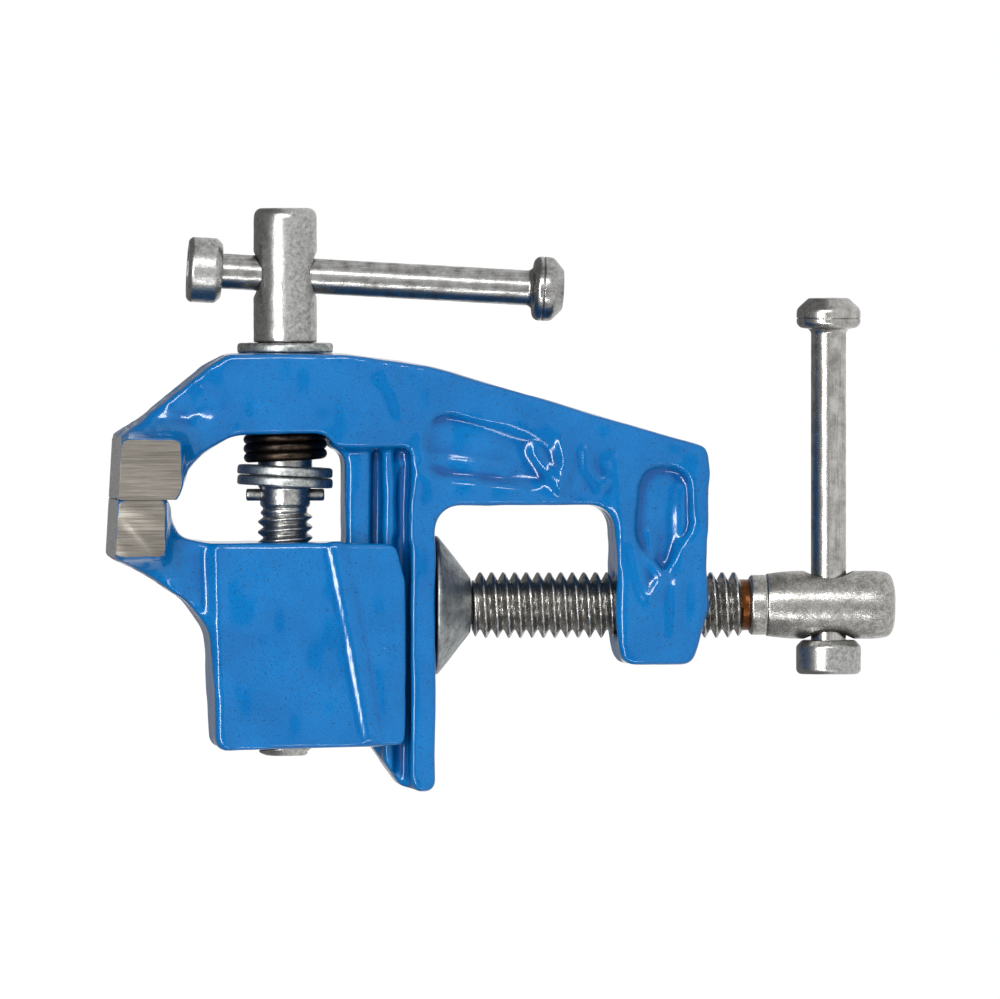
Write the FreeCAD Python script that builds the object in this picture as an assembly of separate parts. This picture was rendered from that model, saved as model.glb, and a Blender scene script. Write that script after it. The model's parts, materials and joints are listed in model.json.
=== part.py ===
"""Clamp-on table vise with 40 mm jaws, as an assembly of separate pieces.

All sizes are in millimetres. +Z is up in use, with the jaws on top. X is the width of the jaws. The main
spindle lies along Y with its handle towards -Y. The origin is on the table face of the casting, where the
axis of the clamp screw meets it.
"""

import FreeCAD, Part
import math
import os

Vec = FreeCAD.Vector

# ---------------------------------------------------------------- driving dimensions
# Jaws
JAW_WIDTH = 40.0
CONTACT_Y = -19.45          # the plane in which the closed jaws meet
JAW_TOP_Z = 57.9            # top of the jaws at the contact plane
JAW_TOP_LEAN = 3.2          # degrees that the ground tops rise towards +Y
FIXED_JAW_DEPTH = 10.8      # along Y, from the contact plane to the start of the sloping back
MOVING_JAW_DEPTH = 10.2
FLARE_START_Z = 36.5        # where the arm starts to widen into the fixed jaw
FIXED_SIDE_LOW_Z = 46.6     # lowest point of the full-width fixed jaw
MOVING_SIDE_LOW_Z = 49.6    # the same for the moving jaw
JAW_BACK_FLARE = 6.2        # length of the hollow curve behind each full-width jaw
NECK_START_Z = 42.5         # where the moving jaw's neck starts to widen
JAW_GAP = 0.10              # gap left between the closed jaws

# Frame casting
SLAB_WIDTH = 24.0           # width of arm, beam and leg
SEAT_Y = -45.8              # flat seat under the spindle's head
ARM_INNER_Y = -31.3         # inner face of the arm
PLATE_THICKNESS = 4.5
PLATE_END_Y = 33.6
TAIL_MARGIN = 0.9           # the resting face starts this far past the pad's rim
GAP_TOP_Y = -18.3           # roof of the clamp gap
LEG_INNER_Z = -32.6
LEG_OUTER_Z = -48.9
LEG_END_Y = 10.7
SLAB_FOOT_Y = -28.6         # where the wide arm steps in to the rail column
POCKET_DEPTH = 1.5          # shallow pockets cast into both sides of beam and leg

# Rail column, a T in section
RAIL_HEAD_WIDTH = 19.0
RAIL_NECK_WIDTH = 12.4
RAIL_TOP_Z = 16.2
RAIL_HEAD_LOW_Z = 11.6
RAIL_NECK_LOW_Z = 9.5
RAIL_SHOULDER_LOW_Z = 7.4
RAIL_ROOT_WIDTH = 15.0
RAIL_CLEARANCE = 0.30       # sliding clearance of the block round the rail

# Moving jaw block
BLOCK_WIDTH = 28.0
NECK_WIDTH = 26.0
BLOCK_FRONT_Y = -11.5
BLOCK_BACK_Y = 26.2
BLOCK_TOP_Z = 41.0
BLOCK_LOW_Z = 5.6

# Main spindle, along Y
SPINDLE_Z = 26.7
SPINDLE_HEAD_D = 11.5
SPINDLE_HEAD_LENGTH = 24.4
SPINDLE_SHANK_D = 9.9
SPINDLE_NECK_D = 9.1
SPINDLE_ROOT_D = 8.0
SPINDLE_PITCH = 1.9
SPINDLE_TIP_Y = 27.3
THREAD_START_Y = -17.3
SPINDLE_BAR_FROM_HEAD = 12.1    # bar hole's centre, from the head's end

# Clamp screw, along Z
CLAMP_D = 11.95
CLAMP_ROOT_D = 9.0
CLAMP_PITCH = 2.1
CLAMP_THREAD_LOW_Z = -56.0
CLAMP_RUNOUT_D = 9.3
CLAMP_COLLAR_D = 10.9
CLAMP_BARREL_D = 12.4
CLAMP_RUNOUT_LENGTH = 1.7
CLAMP_COLLAR_LENGTH = 3.3
CLAMP_BARREL_LENGTH = 23.4
CLAMP_BAR_FROM_END = 12.1

# Swivel pad
PAD_D = 25.3
PAD_RIM = 0.5
PAD_NECK_D = 9.5
PAD_HEIGHT = 6.6
PAD_TABLE_GAP = 0.40        # pad's rim below the table face when fully closed

# T-bars: both bars are the same part
BAR_D = 6.4
BAR_LENGTH = 68.5
BAR_KNOB_D = 11.7
BAR_KNOB_LENGTH = 5.8
CAP_D = 11.8
CAP_LENGTH = 6.2
BAR_HOLE_ROOM = 0.9         # how much wider the bar's hole is than the bar
BAR_HOLE_FLARE = 1.1        # and how much wider again its mouths are
SPINDLE_BAR_LEAN = 3.17     # degrees that the loose main bar leans in its hole
SPINDLE_CAP_GAP = 5.8       # room between the cap and the spindle's head
CLAMP_CAP_GAP = 0.2

# Washers, spring and pin
WASHER_D = 17.4
WASHER_HOLE_ROOM = 1.0      # how much wider the washers' holes are than the shank
WASHER_THICKNESS = 1.8
INNER_WASHER_LEAN = 2.7     # degrees that the two inner washers lean
PIN_D = 2.2
PIN_LENGTH = 14.2
PIN_Y = -20.1
SPRING_D = 15.2             # outside diameter
SPRING_WIRE_D = 1.9
SPRING_TURNS = 2.75
SPRING_POCKET_DEPTH = 1.2
SPRING_END_GAP = 0.15

# Named clearances
SHAFT_CLEARANCE = 0.05      # radial, screws in their bores
PIN_CLEARANCE = 0.02        # radial, pin and bar ends in their holes
SEAT_GAP = 0.10             # flat faces of different moving bodies


# ---------------------------------------------------------------- sizes that follow from them
TAIL_START_Y = PAD_D / 2 + TAIL_MARGIN
WASHER_HOLE_D = SPINDLE_SHANK_D + WASHER_HOLE_ROOM
BAR_HOLE_D = BAR_D + BAR_HOLE_ROOM
BAR_HOLE_MOUTH_D = BAR_HOLE_D + BAR_HOLE_FLARE


# ---------------------------------------------------------------- outline helpers
def rounded_wire(corners, place):
    """Closed wire of straight runs. Each corner is (a, b, radius); place turns (a, b) into a point."""
    edges = []
    ends = []
    count = len(corners)
    for i in range(count):
        before = corners[i - 1]
        here = corners[i]
        after = corners[(i + 1) % count]
        to_before = (before[0] - here[0], before[1] - here[1])
        to_after = (after[0] - here[0], after[1] - here[1])
        len_before = math.hypot(*to_before)
        len_after = math.hypot(*to_after)
        u = (to_before[0] / len_before, to_before[1] / len_before)
        w = (to_after[0] / len_after, to_after[1] / len_after)
        half_turn = 0.5 * math.acos(max(-1.0, min(1.0, u[0] * w[0] + u[1] * w[1])))
        radius = here[2]
        reach = radius / math.tan(half_turn)
        longest = 0.49 * min(len_before, len_after)
        if reach > longest:
            reach = longest
            radius = reach * math.tan(half_turn)
        start = (here[0] + u[0] * reach, here[1] + u[1] * reach)
        end = (here[0] + w[0] * reach, here[1] + w[1] * reach)
        middle = None
        if radius > 0:
            bisector = (u[0] + w[0], u[1] + w[1])
            length = math.hypot(*bisector)
            out = radius / math.sin(half_turn) - radius
            middle = (here[0] + bisector[0] / length * out, here[1] + bisector[1] / length * out)
        ends.append((start, middle, end))
    for i in range(count):
        start, middle, end = ends[i]
        if middle is not None:
            edges.append(Part.Arc(place(*start), place(*middle), place(*end)).toShape())
        edges.append(Part.LineSegment(place(*end), place(*ends[(i + 1) % count][0])).toShape())
    return Part.Wire(edges)


def side_plate(corners, x_low, x_high):
    """Slab whose outline is given as (y, z, radius) corners, from x_low to x_high."""
    wire = rounded_wire(corners, lambda y, z: Vec(x_low, y, z))
    return Part.Face(wire).extrude(Vec(x_high - x_low, 0, 0))


def front_bar(corners, y_low, y_high):
    """Bar along Y whose section is given as (x, z, radius) corners."""
    wire = rounded_wire(corners, lambda x, z: Vec(x, y_low, z))
    return Part.Face(wire).extrude(Vec(0, y_high - y_low, 0))


def mirrored(half):
    """Full outline from the corners of its +x half, listed from low z to high z."""
    return half + [(-x, z, r) for x, z, r in reversed(half)]


def turned(profile, base, direction):
    """Turned piece: profile is a list of (radius, distance along direction) from one end of the axis to the other."""
    points = [(0.0, profile[0][1])] + profile + [(0.0, profile[-1][1])]
    kept = [points[0]]
    for point in points[1:]:
        if point != kept[-1]:
            kept.append(point)
    corners = [Vec(r, 0, d) for r, d in kept]
    wire = Part.makePolygon(corners + [corners[0]])
    body = Part.Face(wire).revolve(Vec(0, 0, 0), Vec(0, 0, 1), 360)
    return aimed(body, base, direction)


def aimed(shape, base, direction):
    """Moves a shape built up the Z axis from the origin so that it starts at base and runs along direction."""
    turn = FreeCAD.Rotation(Vec(0, 0, 1), direction)
    shape.Placement = FreeCAD.Placement(base, turn).multiply(shape.Placement)
    return shape


def rod(diameter, base, direction, length):
    return Part.makeCylinder(diameter / 2, length, base, direction)


def ring(outer_d, inner_d, base, direction, length):
    return rod(outer_d, base, direction, length).cut(rod(inner_d, base, direction, length))


def thread_profile(crest_d, root_d, pitch, start, end):
    """Zigzag of thread rings from start to end, with small flats on crest and root."""
    flat = 0.12 * pitch
    turns = int((end - start) / pitch)
    step = (end - start) / turns
    points = []
    for i in range(turns):
        low = start + i * step
        points.append((root_d / 2, low))
        points.append((root_d / 2, low + flat))
        points.append((crest_d / 2, low + step / 2))
        points.append((crest_d / 2, low + step / 2 + flat))
    points.append((root_d / 2, end))
    return points


def bar_hole(centre, direction, through):
    """Cross hole for a T-bar, with its two mouths opened out."""
    start = centre - direction * (through / 2 + 1)
    hole = rod(BAR_HOLE_D, start, direction, through + 2)
    mouth_depth = 1.6
    for sign in (-1, 1):
        tip = centre + direction * (sign * (through / 2 - mouth_depth))
        mouth = Part.makeCone(BAR_HOLE_D / 2, BAR_HOLE_MOUTH_D / 2 + 0.4, mouth_depth + 0.6, tip, direction * sign)
        hole = hole.fuse(mouth)
    return hole


# ---------------------------------------------------------------- frame casting
def jaw_top(y):
    """Height of the ground jaw tops at a place along Y."""
    return JAW_TOP_Z + (y - CONTACT_Y) * math.tan(math.radians(JAW_TOP_LEAN))


def flared_plan(base_width, low, flare, full, top, place, sweep, foot=None):
    """Outline that holds a jaw's width. Along the direction t it is base_width wide from low to flare, then a
    hollow curve takes it out to the full jaw width at full, and it stays that wide up to top. place turns (x, t)
    into a point and sweep is the extrusion. foot replaces the straight part with (half width, t) corners."""
    half = base_width / 2
    wide = JAW_WIDTH / 2
    rise = full - flare
    reach = wide - half
    radius = (reach ** 2 + rise ** 2) / (2 * reach)
    turn = math.atan2(rise, radius - reach)
    mid_x = half + radius * (1 - math.cos(turn / 2))
    mid_t = flare + radius * math.sin(turn / 2)
    right = (foot or [(half, low)]) + [(half, flare)]
    left = [(-x, t) for x, t in reversed(right)]
    runs = [right, [(wide, full), (wide, top), (-wide, top), (-wide, full)], left + [right[0]]]
    edges = []
    for run in runs:
        for start, end in zip(run, run[1:]):
            edges.append(Part.LineSegment(place(*start), place(*end)).toShape())
    edges.append(Part.Arc(place(half, flare), place(mid_x, mid_t), place(wide, full)).toShape())
    edges.append(Part.Arc(place(-wide, full), place(-mid_x, mid_t), place(-half, flare)).toShape())
    return Part.Face(Part.Wire(Part.__sortEdges__(edges))).extrude(sweep)


def flare_up(base_width, flare_z, full_z, foot=None):
    """Limits a jaw's width by height: narrow below flare_z, full above full_z."""
    low = CLAMP_THREAD_LOW_Z
    top = JAW_TOP_Z + 5
    return flared_plan(base_width, low, flare_z, full_z, top, lambda x, z: Vec(x, -60, z), Vec(0, 120, 0), foot)


def flare_back(base_width, flare_y, full_y):
    """Limits a jaw's width along Y: narrow behind flare_y, full from full_y to far past the contact plane."""
    sign = 1 if full_y > flare_y else -1
    reach = 80

    def place(x, t):
        return Vec(x, sign * t, -reach)

    return flared_plan(base_width, -reach, sign * flare_y, sign * full_y, reach, place, Vec(0, 0, 2 * reach))


def make_frame():
    jaw_back_y = CONTACT_Y - FIXED_JAW_DEPTH
    outline = [
        (CONTACT_Y, jaw_top(CONTACT_Y), 0.3),
        (jaw_back_y, jaw_top(jaw_back_y), 0.5),
        (-33.2, 53.8, 6),
        (-43.6, 41.0, 14),
        (SEAT_Y, 37.3, 3),
        (SEAT_Y, 17.0, 8),
        (-43.7, 1.6, 30),
        (-28.9, -49.3, 1.5),
        (-24.0, -50.1, 4),
        (-1.3, LEG_OUTER_Z, 20),
        (LEG_END_Y, LEG_OUTER_Z + 1.9, 2.5),
        (LEG_END_Y, LEG_INNER_Z - 1.0, 2.5),
        (GAP_TOP_Y, LEG_INNER_Z, 4.5),
        (GAP_TOP_Y, 0.0, 4.5),
        (TAIL_START_Y, 0.0, 0),
        (TAIL_START_Y, PLATE_THICKNESS, 0),
        (SLAB_FOOT_Y, PLATE_THICKNESS, 0.8),
        (SLAB_FOOT_Y, RAIL_TOP_Z + 1.6, 0.8),
        (ARM_INNER_Y, RAIL_TOP_Z + 4.0, 3.0),
        (ARM_INNER_Y, 36.4, 8),
        (-26.5, 44.0, 12),
        (CONTACT_Y, 47.9, 1.0),
    ]
    half = JAW_WIDTH / 2
    body = side_plate(outline, -half, half)
    body = body.common(flare_up(SLAB_WIDTH, FLARE_START_Z, FIXED_SIDE_LOW_Z))
    body = body.common(flare_back(SLAB_WIDTH, jaw_back_y - JAW_BACK_FLARE, jaw_back_y))

    # Tail of the plate past the pad's reach: its lower face stays a face of its own, to rest on the table
    tail = side_plate([
        (TAIL_START_Y, 0.0, 0),
        (PLATE_END_Y, 0.0, 1.6),
        (PLATE_END_Y, PLATE_THICKNESS, 2.0),
        (TAIL_START_Y, PLATE_THICKNESS, 0),
    ], -SLAB_WIDTH / 2, SLAB_WIDTH / 2)
    body = body.fuse(tail)

    # T-section rail column: its lower end is cut off by a slope that runs down to the plate
    section = mirrored([
        (RAIL_ROOT_WIDTH / 2, PLATE_THICKNESS - 0.5, 0),
        (RAIL_ROOT_WIDTH / 2, RAIL_SHOULDER_LOW_Z, 0),
        (RAIL_HEAD_WIDTH / 2, RAIL_SHOULDER_LOW_Z, 0.5),
        (RAIL_HEAD_WIDTH / 2, RAIL_NECK_LOW_Z, 0.4),
        (RAIL_NECK_WIDTH / 2, RAIL_NECK_LOW_Z, 0.3),
        (RAIL_NECK_WIDTH / 2, RAIL_HEAD_LOW_Z, 0.3),
        (RAIL_HEAD_WIDTH / 2, RAIL_HEAD_LOW_Z, 0.4),
        (RAIL_HEAD_WIDTH / 2, RAIL_TOP_Z, 0.6),
    ])
    rail = front_bar(section, ARM_INNER_Y - 1, PLATE_END_Y)
    slope = side_plate([
        (ARM_INNER_Y - 2, PLATE_THICKNESS - 1, 0),
        (ARM_INNER_Y - 2, RAIL_TOP_Z + 1, 0),
        (17.0, RAIL_TOP_Z + 1, 0),
        (PLATE_END_Y - 0.7, PLATE_THICKNESS + 1.5, 0),
        (PLATE_END_Y - 0.7, PLATE_THICKNESS - 1, 0),
    ], -half, half)
    body = body.fuse(rail.common(slope))

    # Hollow corner between the arm's underside and the rail
    corner_r = 2.8
    block = Part.makeBox(
        RAIL_HEAD_WIDTH, corner_r + 0.5, corner_r + 0.5,
        Vec(-RAIL_HEAD_WIDTH / 2, SLAB_FOOT_Y - 0.5, RAIL_TOP_Z - 0.5),
    )
    hollow = rod(2 * corner_r, Vec(-half, SLAB_FOOT_Y + corner_r, RAIL_TOP_Z + corner_r), Vec(1, 0, 0), JAW_WIDTH)
    body = body.fuse(block.cut(hollow))

    # Shallow pockets on both sides of the beam and the leg
    beam_pocket = [
        (-36.4, 2.2, 4), (-29.2, -22.4, 4), (-21.8, -21.0, 4), (-22.2, 1.0, 5),
    ]
    leg_pocket = [
        (-25.3, -37.2, 4), (-25.3, -46.0, 4), (-14.0, -46.6, 5), (-5.4, -41.2, 1.2), (-12.5, -36.0, 5),
    ]
    for pocket in (beam_pocket, leg_pocket):
        for sign in (-1, 1):
            outside = sign * (SLAB_WIDTH / 2 + 1)
            inside = sign * (SLAB_WIDTH / 2 - POCKET_DEPTH)
            body = body.cut(side_plate(pocket, min(outside, inside), max(outside, inside)))

    # Spindle bore with the spring's pocket, and the bore for the clamp screw
    along_y = Vec(0, 1, 0)
    bore_d = SPINDLE_SHANK_D + 2 * SHAFT_CLEARANCE
    body = body.cut(rod(bore_d, Vec(0, SEAT_Y - 3, SPINDLE_Z), along_y, ARM_INNER_Y - SEAT_Y + 6))
    pocket_floor = ARM_INNER_Y - SPRING_POCKET_DEPTH
    body = body.cut(rod(SPRING_D + 0.9, Vec(0, pocket_floor, SPINDLE_Z), along_y, 5))
    clamp_bore_d = CLAMP_D + 2 * SHAFT_CLEARANCE
    body = body.cut(rod(clamp_bore_d, Vec(0, 0, LEG_OUTER_Z - 5), Vec(0, 0, 1), LEG_INNER_Z - LEG_OUTER_Z + 8))
    return body


# ---------------------------------------------------------------- moving jaw casting
def make_moving_jaw():
    front = CONTACT_Y + JAW_GAP
    jaw_back_y = CONTACT_Y + MOVING_JAW_DEPTH
    outline = [
        (front, jaw_top(front), 0.3),
        (front, 48.6, 1.0),
        (-17.0, 48.4, 2.0),
        (-12.6, 47.0, 5.0),
        (BLOCK_FRONT_Y, 41.0, 5.0),
        (BLOCK_FRONT_Y, BLOCK_LOW_Z + 1.6, 2.2),
        (-4.7, BLOCK_LOW_Z, 4),
        (BLOCK_BACK_Y - 1.0, BLOCK_LOW_Z, 1.4),
        (BLOCK_BACK_Y, BLOCK_TOP_Z - 1.2, 2.2),
        (4.5, BLOCK_TOP_Z, 6),
        (-1.0, 45.2, 6),
        (-7.8, 55.6, 5),
        (jaw_back_y, jaw_top(jaw_back_y), 0.6),
    ]
    half = JAW_WIDTH / 2
    body = side_plate(outline, -half, half)
    block_half = BLOCK_WIDTH / 2
    neck_half = NECK_WIDTH / 2
    foot = [
        (block_half, BLOCK_LOW_Z - 5),
        (block_half, BLOCK_TOP_Z - 1.0),
        (neck_half, BLOCK_TOP_Z + 1.2),
    ]
    body = body.common(flare_up(NECK_WIDTH, NECK_START_Z, MOVING_SIDE_LOW_Z, foot))
    body = body.common(flare_back(BLOCK_WIDTH, jaw_back_y + JAW_BACK_FLARE, jaw_back_y))

    # T-slot that takes the rail with sliding clearance all round, open at the bottom
    c = RAIL_CLEARANCE
    slot = mirrored([
        (RAIL_HEAD_WIDTH / 2 + c, BLOCK_LOW_Z - 3, 0),
        (RAIL_HEAD_WIDTH / 2 + c, RAIL_NECK_LOW_Z + c, 0),
        (RAIL_NECK_WIDTH / 2 + c, RAIL_NECK_LOW_Z + c, 0),
        (RAIL_NECK_WIDTH / 2 + c, RAIL_HEAD_LOW_Z - c, 0),
        (RAIL_HEAD_WIDTH / 2 + c, RAIL_HEAD_LOW_Z - c, 0),
        (RAIL_HEAD_WIDTH / 2 + c, RAIL_TOP_Z + c, 0),
    ])
    length = BLOCK_BACK_Y - BLOCK_FRONT_Y + 4
    body = body.cut(front_bar(slot, BLOCK_FRONT_Y - 2, BLOCK_FRONT_Y - 2 + length))
    bore_d = SPINDLE_SHANK_D + 2 * SHAFT_CLEARANCE
    body = body.cut(rod(bore_d, Vec(0, BLOCK_FRONT_Y - 2, SPINDLE_Z), Vec(0, 1, 0), length))
    return body


# ---------------------------------------------------------------- main spindle and what is on it
HEAD_SEAT_Y = SEAT_Y - WASHER_THICKNESS - 2 * SEAT_GAP
SPINDLE_BAR_Y = HEAD_SEAT_Y - SPINDLE_HEAD_LENGTH + SPINDLE_BAR_FROM_HEAD
ALONG_Y = Vec(0, 1, 0)


def make_spindle():
    start_y = HEAD_SEAT_Y - SPINDLE_HEAD_LENGTH
    head_r = SPINDLE_HEAD_D / 2
    shank_end = THREAD_START_Y - 4.2 - start_y
    thread_start = THREAD_START_Y - start_y
    tip = SPINDLE_TIP_Y - start_y
    profile = [
        (head_r - 1.7, 0.0),
        (head_r - 0.75, 0.25),
        (head_r - 0.2, 0.85),
        (head_r, 1.7),
        (head_r, SPINDLE_HEAD_LENGTH - 0.4),
        (head_r - 0.4, SPINDLE_HEAD_LENGTH),
        (SPINDLE_SHANK_D / 2, SPINDLE_HEAD_LENGTH),
        (SPINDLE_SHANK_D / 2, shank_end),
        (SPINDLE_NECK_D / 2, shank_end + 0.4),
        (SPINDLE_NECK_D / 2, thread_start - 0.6),
    ]
    profile += thread_profile(SPINDLE_SHANK_D, SPINDLE_ROOT_D, SPINDLE_PITCH, thread_start, tip - 0.8)
    profile.append((SPINDLE_ROOT_D / 2 - 0.6, tip))
    body = turned(profile, Vec(0, start_y, SPINDLE_Z), ALONG_Y)
    centre = Vec(0, SPINDLE_BAR_Y, SPINDLE_Z)
    body = body.cut(bar_hole(centre, Vec(0, 0, 1), SPINDLE_HEAD_D))
    pin_hole_d = PIN_D + 2 * PIN_CLEARANCE
    body = body.cut(rod(pin_hole_d, Vec(0, PIN_Y, SPINDLE_Z - 10), Vec(0, 0, 1), 20))
    return body


def make_outer_washer():
    base = Vec(0, SEAT_Y - SEAT_GAP - WASHER_THICKNESS, SPINDLE_Z)
    washer = ring(WASHER_D, WASHER_HOLE_D, base, ALONG_Y, WASHER_THICKNESS)
    return rounded_rims(washer, 0.45)


def rounded_rims(washer, radius):
    """Rounds the two outer rims of a washer."""
    largest = max(edge.Length for edge in washer.Edges)
    rims = [edge for edge in washer.Edges if edge.Length > 0.99 * largest and len(edge.Vertexes) == 1]
    return washer.makeFillet(radius, rims)


def make_inner_washers():
    """Two washers between the spring and the cross pin. Both lean the same way, so the stack stays parallel."""
    lean = math.radians(INNER_WASHER_LEAN)
    direction = Vec(0, math.cos(lean), math.sin(lean))
    low_edge = WASHER_D / 2 * math.sin(lean)
    pin_side = PIN_Y - PIN_D / 2
    reach = PIN_LENGTH / 2 * math.tan(lean)
    lower_end = pin_side - SEAT_GAP - reach
    lower_start = lower_end - WASHER_THICKNESS
    upper_start = lower_start - SEAT_GAP - WASHER_THICKNESS
    washers = []
    for start in (upper_start, lower_start):
        base = Vec(0, start, SPINDLE_Z)
        washer = ring(WASHER_D, WASHER_HOLE_D, base, direction, WASHER_THICKNESS)
        washers.append(rounded_rims(washer, 0.45))
    return washers, upper_start - low_edge


def make_pin():
    base = Vec(0, PIN_Y, SPINDLE_Z - PIN_LENGTH / 2)
    pin = rod(PIN_D, base, Vec(0, 0, 1), PIN_LENGTH)
    return pin.makeChamfer(0.25, pin.Edges[:1] + pin.Edges[2:])


def make_spring(washer_y):
    """Open coil spring from the floor of its pocket to just short of the upper washer."""
    wire_r = SPRING_WIRE_D / 2
    start_y = ARM_INNER_Y - SPRING_POCKET_DEPTH + wire_r + SPRING_END_GAP
    end_y = washer_y - wire_r - SPRING_END_GAP
    height = end_y - start_y
    coil_r = SPRING_D / 2 - wire_r
    helix = Part.makeHelix(height / SPRING_TURNS, height, coil_r)
    section = Part.Wire(Part.makeCircle(wire_r, Vec(coil_r, 0, 0), Vec(0, 1, 0)))
    coil = Part.Wire(helix.Edges).makePipeShell([section], True, True)
    return aimed(coil, Vec(0, start_y, SPINDLE_Z), ALONG_Y)


# ---------------------------------------------------------------- T-bars
def make_bar(cap_face, direction):
    """T-bar rod with its forged knob and its riveted cap. cap_face is where the cap's inner face meets the bar's
    axis, and direction points from the cap to the knob."""
    rod_start = cap_face - direction * CAP_LENGTH
    knob_r = BAR_KNOB_D / 2
    rod_length = BAR_LENGTH - BAR_KNOB_LENGTH
    half_rod = BAR_D / 2
    profile = [
        (half_rod - 0.5, 0.35),
        (half_rod, 0.7),
        (half_rod, rod_length),
        (knob_r - 0.9, rod_length + 0.3),
        (knob_r - 0.2, rod_length + 1.1),
        (knob_r - 0.5, rod_length + 1.8),
        (knob_r, rod_length + 2.5),
        (knob_r, rod_length + 3.4),
        (knob_r - 2.3, BAR_LENGTH - 0.2),
        (knob_r - 2.8, BAR_LENGTH),
    ]
    bar = turned(profile, rod_start, direction)
    cap_r = CAP_D / 2
    cap = turned([
        (cap_r - 0.7, 0.0),
        (cap_r, 0.7),
        (cap_r, CAP_LENGTH - 1.0),
        (cap_r - 1.0, CAP_LENGTH),
    ], rod_start, direction)
    cap = cap.cut(rod(BAR_D + 2 * PIN_CLEARANCE, rod_start - direction, direction, CAP_LENGTH + 2))
    return bar, cap


def make_spindle_bar():
    lean = math.radians(SPINDLE_BAR_LEAN)
    direction = Vec(0, math.sin(lean), -math.cos(lean))
    centre = Vec(0, SPINDLE_BAR_Y, SPINDLE_Z)
    cap_face = centre - direction * (SPINDLE_HEAD_D / 2 + SPINDLE_CAP_GAP)
    return make_bar(cap_face, direction)


CLAMP_END_Z = (CLAMP_THREAD_LOW_Z - CLAMP_RUNOUT_LENGTH - CLAMP_COLLAR_LENGTH - CLAMP_BARREL_LENGTH)
CLAMP_BAR_Z = CLAMP_END_Z + CLAMP_BAR_FROM_END


def make_clamp_bar():
    direction = Vec(0, -1, 0)
    cap_face = Vec(0, CLAMP_BARREL_D / 2 + CLAMP_CAP_GAP, CLAMP_BAR_Z)
    return make_bar(cap_face, direction)


# ---------------------------------------------------------------- clamp screw and pad
PAD_FACE_Z = -PAD_TABLE_GAP
PAD_FOOT_Z = PAD_FACE_Z - PAD_HEIGHT
PAD_BORE_D = 7.4
PAD_HOLLOW_D = 12.4
PAD_FLOOR = 2.8             # thickness of the pad's floor round the screw's nose
NOSE_D = PAD_BORE_D - 0.4
RIVET_D = 10.6
RIVET_HEIGHT = 1.5


def make_clamp_pad():
    """Hollow cone: the rim grips the table from below, and the screw's riveted nose turns in its floor."""
    rim_r = PAD_D / 2
    pad = turned([
        (PAD_NECK_D / 2, 0.0),
        (rim_r, PAD_HEIGHT - PAD_RIM),
        (rim_r, PAD_HEIGHT),
    ], Vec(0, 0, PAD_FOOT_Z), Vec(0, 0, 1))
    hollow = turned([
        (PAD_HOLLOW_D / 2, PAD_FLOOR),
        (PAD_HOLLOW_D / 2, PAD_HEIGHT - 2.0),
        (rim_r - 2.6, PAD_HEIGHT + 0.2),
    ], Vec(0, 0, PAD_FOOT_Z), Vec(0, 0, 1))
    bore = rod(PAD_BORE_D, Vec(0, 0, PAD_FOOT_Z - 1), Vec(0, 0, 1), PAD_FLOOR + 2)
    return pad.cut(hollow).cut(bore)


def make_clamp_screw():
    barrel_r = CLAMP_BARREL_D / 2
    thread_start = CLAMP_BARREL_LENGTH + CLAMP_COLLAR_LENGTH + CLAMP_RUNOUT_LENGTH
    shoulder = PAD_FOOT_Z - 0.3 - CLAMP_END_Z
    rivet_low = PAD_FOOT_Z + PAD_FLOOR + 0.2 - CLAMP_END_Z
    profile = [
        (barrel_r - 2.0, 0.0),
        (barrel_r - 0.8, 0.35),
        (barrel_r - 0.2, 1.1),
        (barrel_r, 2.2),
        (barrel_r, CLAMP_BARREL_LENGTH - 3.0),
        (barrel_r - 0.25, CLAMP_BARREL_LENGTH - 1.2),
        (CLAMP_COLLAR_D / 2 + 0.1, CLAMP_BARREL_LENGTH),
        (CLAMP_COLLAR_D / 2, CLAMP_BARREL_LENGTH + 0.2),
        (CLAMP_COLLAR_D / 2, CLAMP_BARREL_LENGTH + CLAMP_COLLAR_LENGTH - 0.5),
        (CLAMP_RUNOUT_D / 2, CLAMP_BARREL_LENGTH + CLAMP_COLLAR_LENGTH),
        (CLAMP_RUNOUT_D / 2, thread_start - 0.2),
    ]
    profile += thread_profile(CLAMP_D, CLAMP_ROOT_D, CLAMP_PITCH, thread_start, shoulder)
    profile += [
        (NOSE_D / 2, shoulder),
        (NOSE_D / 2, rivet_low),
        (RIVET_D / 2, rivet_low),
        (RIVET_D / 2, rivet_low + 0.5),
        (RIVET_D / 2 - 1.6, rivet_low + RIVET_HEIGHT),
    ]
    body = turned(profile, Vec(0, 0, CLAMP_END_Z), Vec(0, 0, 1))
    return body.cut(bar_hole(Vec(0, 0, CLAMP_BAR_Z), Vec(0, 1, 0), CLAMP_BARREL_D))


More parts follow.
